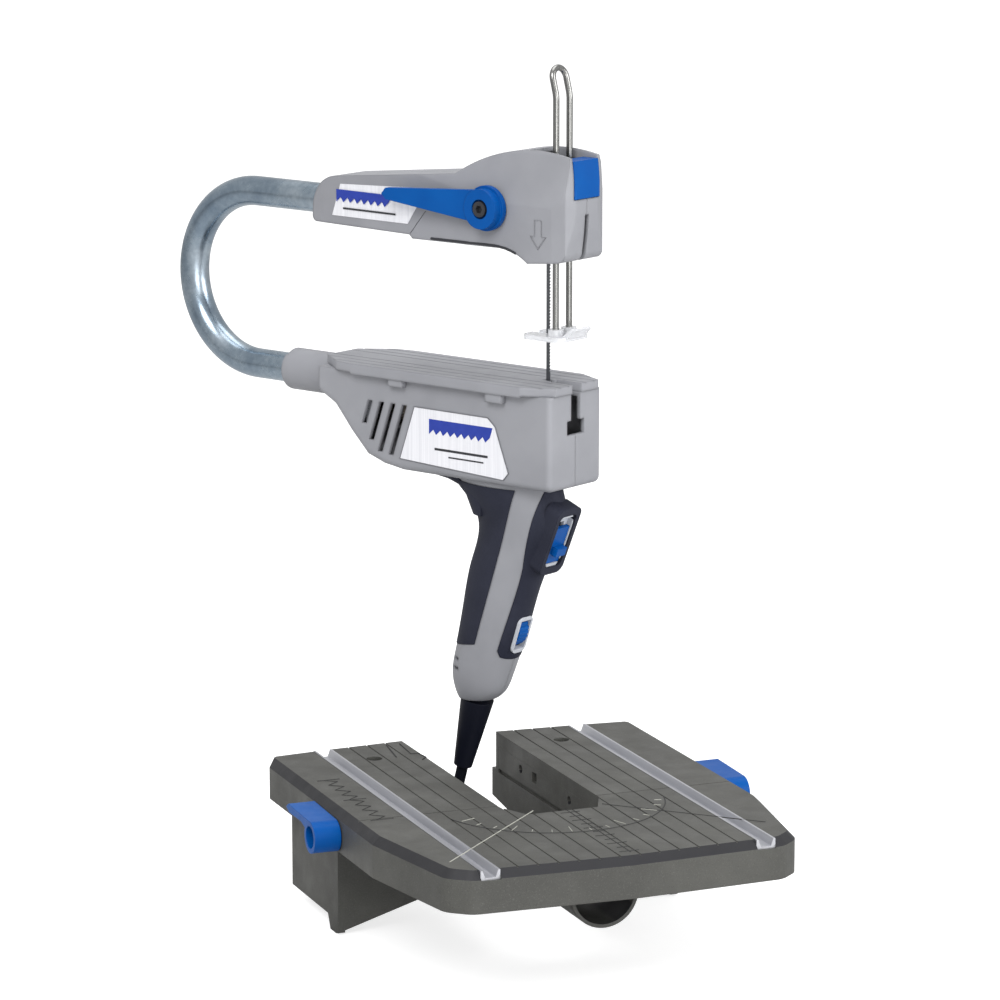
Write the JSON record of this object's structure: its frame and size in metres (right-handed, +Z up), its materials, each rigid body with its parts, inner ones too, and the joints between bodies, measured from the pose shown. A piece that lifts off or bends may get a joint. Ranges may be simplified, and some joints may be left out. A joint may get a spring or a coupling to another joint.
{
  "type": "scroll saw",
  "caption": "Compact hand-held scroll saw with a C-shaped tube frame and pistol handle, lifted clear of its slotted scroll table; blade drive, guard and locks move.",
  "frame": {"origin": "bench surface, under the middle of the saw and table without the cord", "axes": "+Z up, -Y towards the user at the table, +X to the user's right"},
  "size_m": [0.257, 0.4244, 0.4732],
  "materials": {
    "grey_plastic": "fine moulded texture",
    "light_grey_plastic": "satin",
    "table_plastic": "dark, finely speckled",
    "rail_aluminium": "drawn, satin",
    "blue_plastic": "semi-gloss",
    "grip_rubber": "fine texture",
    "black_plastic": "satin",
    "cord_jacket": "soft, matt",
    "label_film": "printed silver film",
    "zinc_tube": "zinc plated",
    "bright_wire": "polished",
    "clear_plastic": "clear moulded plastic",
    "machined_steel": "machined",
    "blade_steel": "hardened",
    "motor_iron": "laminated",
    "carbon": "graphite",
    "circuit_board": "board and housing"
  },
  "bodies": {
    "table": {"table_top": "table_plastic", "slot_rail_left": "rail_aluminium", "slot_rail_right": "rail_aluminium", "bay_wall_left": "table_plastic", "bay_wall_right": "table_plastic", "leg_left": "table_plastic", "leg_right": "table_plastic", "rear_feet": "grip_rubber", "dust_scoop": "table_plastic", "power_cord": "cord_jacket", "cord_coil": "cord_jacket", "cord_tail": "cord_jacket", "mains_plug": "black_plastic"},
    "lock_left": {"lock_lever_left": "blue_plastic", "lock_shaft_left": "machined_steel"},
    "lock_right": {"lock_lever_right": "blue_plastic", "lock_shaft_right": "machined_steel"},
    "saw": {"lower_housing_left": "grey_plastic", "lower_housing_right": "grey_plastic", "deck_plate": "grey_plastic", "side_label_left": "label_film", "side_label_right": "label_film", "c_tube": "zinc_tube", "arm_shell_left": "grey_plastic", "arm_shell_right": "grey_plastic", "arm_label_left": "label_film", "arm_label_right": "label_film", "arm_liner": "black_plastic", "rod_guide": "black_plastic", "clamp_guide": "black_plastic", "rear_grip": "grip_rubber", "front_grip": "grip_rubber", "switch_bezel": "light_grey_plastic", "switch_module": "black_plastic", "dial_bezel": "light_grey_plastic", "speed_board": "circuit_board", "strain_relief": "black_plastic", "motor_stator": "motor_iron", "carbon_brushes": "carbon", "shaft_bearings": "machined_steel", "gearbox_frame": "machined_steel", "rear_bearing_plate": "machined_steel", "plunger_guides": "black_plastic", "housing_screws": "machined_steel"},
    "armature": {"motor_armature": "motor_iron"},
    "crank": {"crank_gear": "machined_steel"},
    "blade_carriage": {"plunger": "machined_steel", "blade": "blade_steel", "upper_clamp": "machined_steel"},
    "lever": {"tension_lever": "blue_plastic", "lever_screw": "machined_steel", "lever_cam": "machined_steel"},
    "guard": {"guard_rods": "bright_wire", "guard_foot": "clear_plastic"},
    "button": {"release_button": "blue_plastic"},
    "switch": {"switch_slider": "blue_plastic"},
    "dial": {"speed_dial": "blue_plastic"}
  },
  "joints": [
    {"name": "saw_lift", "type": "slide", "parent": "table", "child": "saw", "axis": [0, 0, 1], "range_m": [-0.03, 0.06], "deforming": ["power_cord"]},
    {"name": "lock_left_turn", "type": "hinge", "parent": "table", "child": "lock_left", "pos_m": [-0.12, -0.07214, 0.0665], "axis": [1, 0, 0], "range_deg": [0, 90]},
    {"name": "lock_right_turn", "type": "hinge", "parent": "table", "child": "lock_right", "pos_m": [0.12, -0.07214, 0.0665], "axis": [1, 0, 0], "range_deg": [0, 90]},
    {"name": "blade_stroke", "type": "slide", "parent": "saw", "child": "blade_carriage", "axis": [0, 0, 1], "range_m": [-0.004, 0.004]},
    {"name": "armature_spin", "type": "hinge", "parent": "saw", "child": "armature", "pos_m": [0.00318, 0.01489, 0.2752], "axis": [-0.4885, 0.8726, 0], "continuous": true},
    {"name": "crank_spin", "type": "hinge", "parent": "saw", "child": "crank", "pos_m": [0.0232, -0.02089, 0.2612], "axis": [-0.4885, 0.8726, 0], "continuous": true},
    {"name": "lever_turn", "type": "hinge", "parent": "saw", "child": "lever", "pos_m": [-0.00304, -0.01495, 0.3942], "axis": [0.8726, 0.4885, 0], "range_deg": [0, 150]},
    {"name": "guard_slide", "type": "slide", "parent": "saw", "child": "guard", "axis": [0, 0, 1], "range_m": [-0.022, 0.03]},
    {"name": "button_press", "type": "slide", "parent": "saw", "child": "button", "axis": [-0.4885, 0.8726, 0], "range_m": [0, 0.003], "stiffness_N_per_m": 400, "springref_m": -0.002},
    {"name": "switch_slide", "type": "slide", "parent": "saw", "child": "switch", "axis": [0.183, -0.3269, 0.9272], "range_m": [0, 0.006]},
    {"name": "dial_turn", "type": "hinge", "parent": "saw", "child": "dial", "pos_m": [0.01435, -0.00507, 0.15579], "axis": [0.8726, 0.4885, 0], "range_deg": [0, 240]}
  ],
  "couplings": [
    {"joint": "crank_spin", "follows": "armature_spin", "ratio": -0.33333}
  ]
}
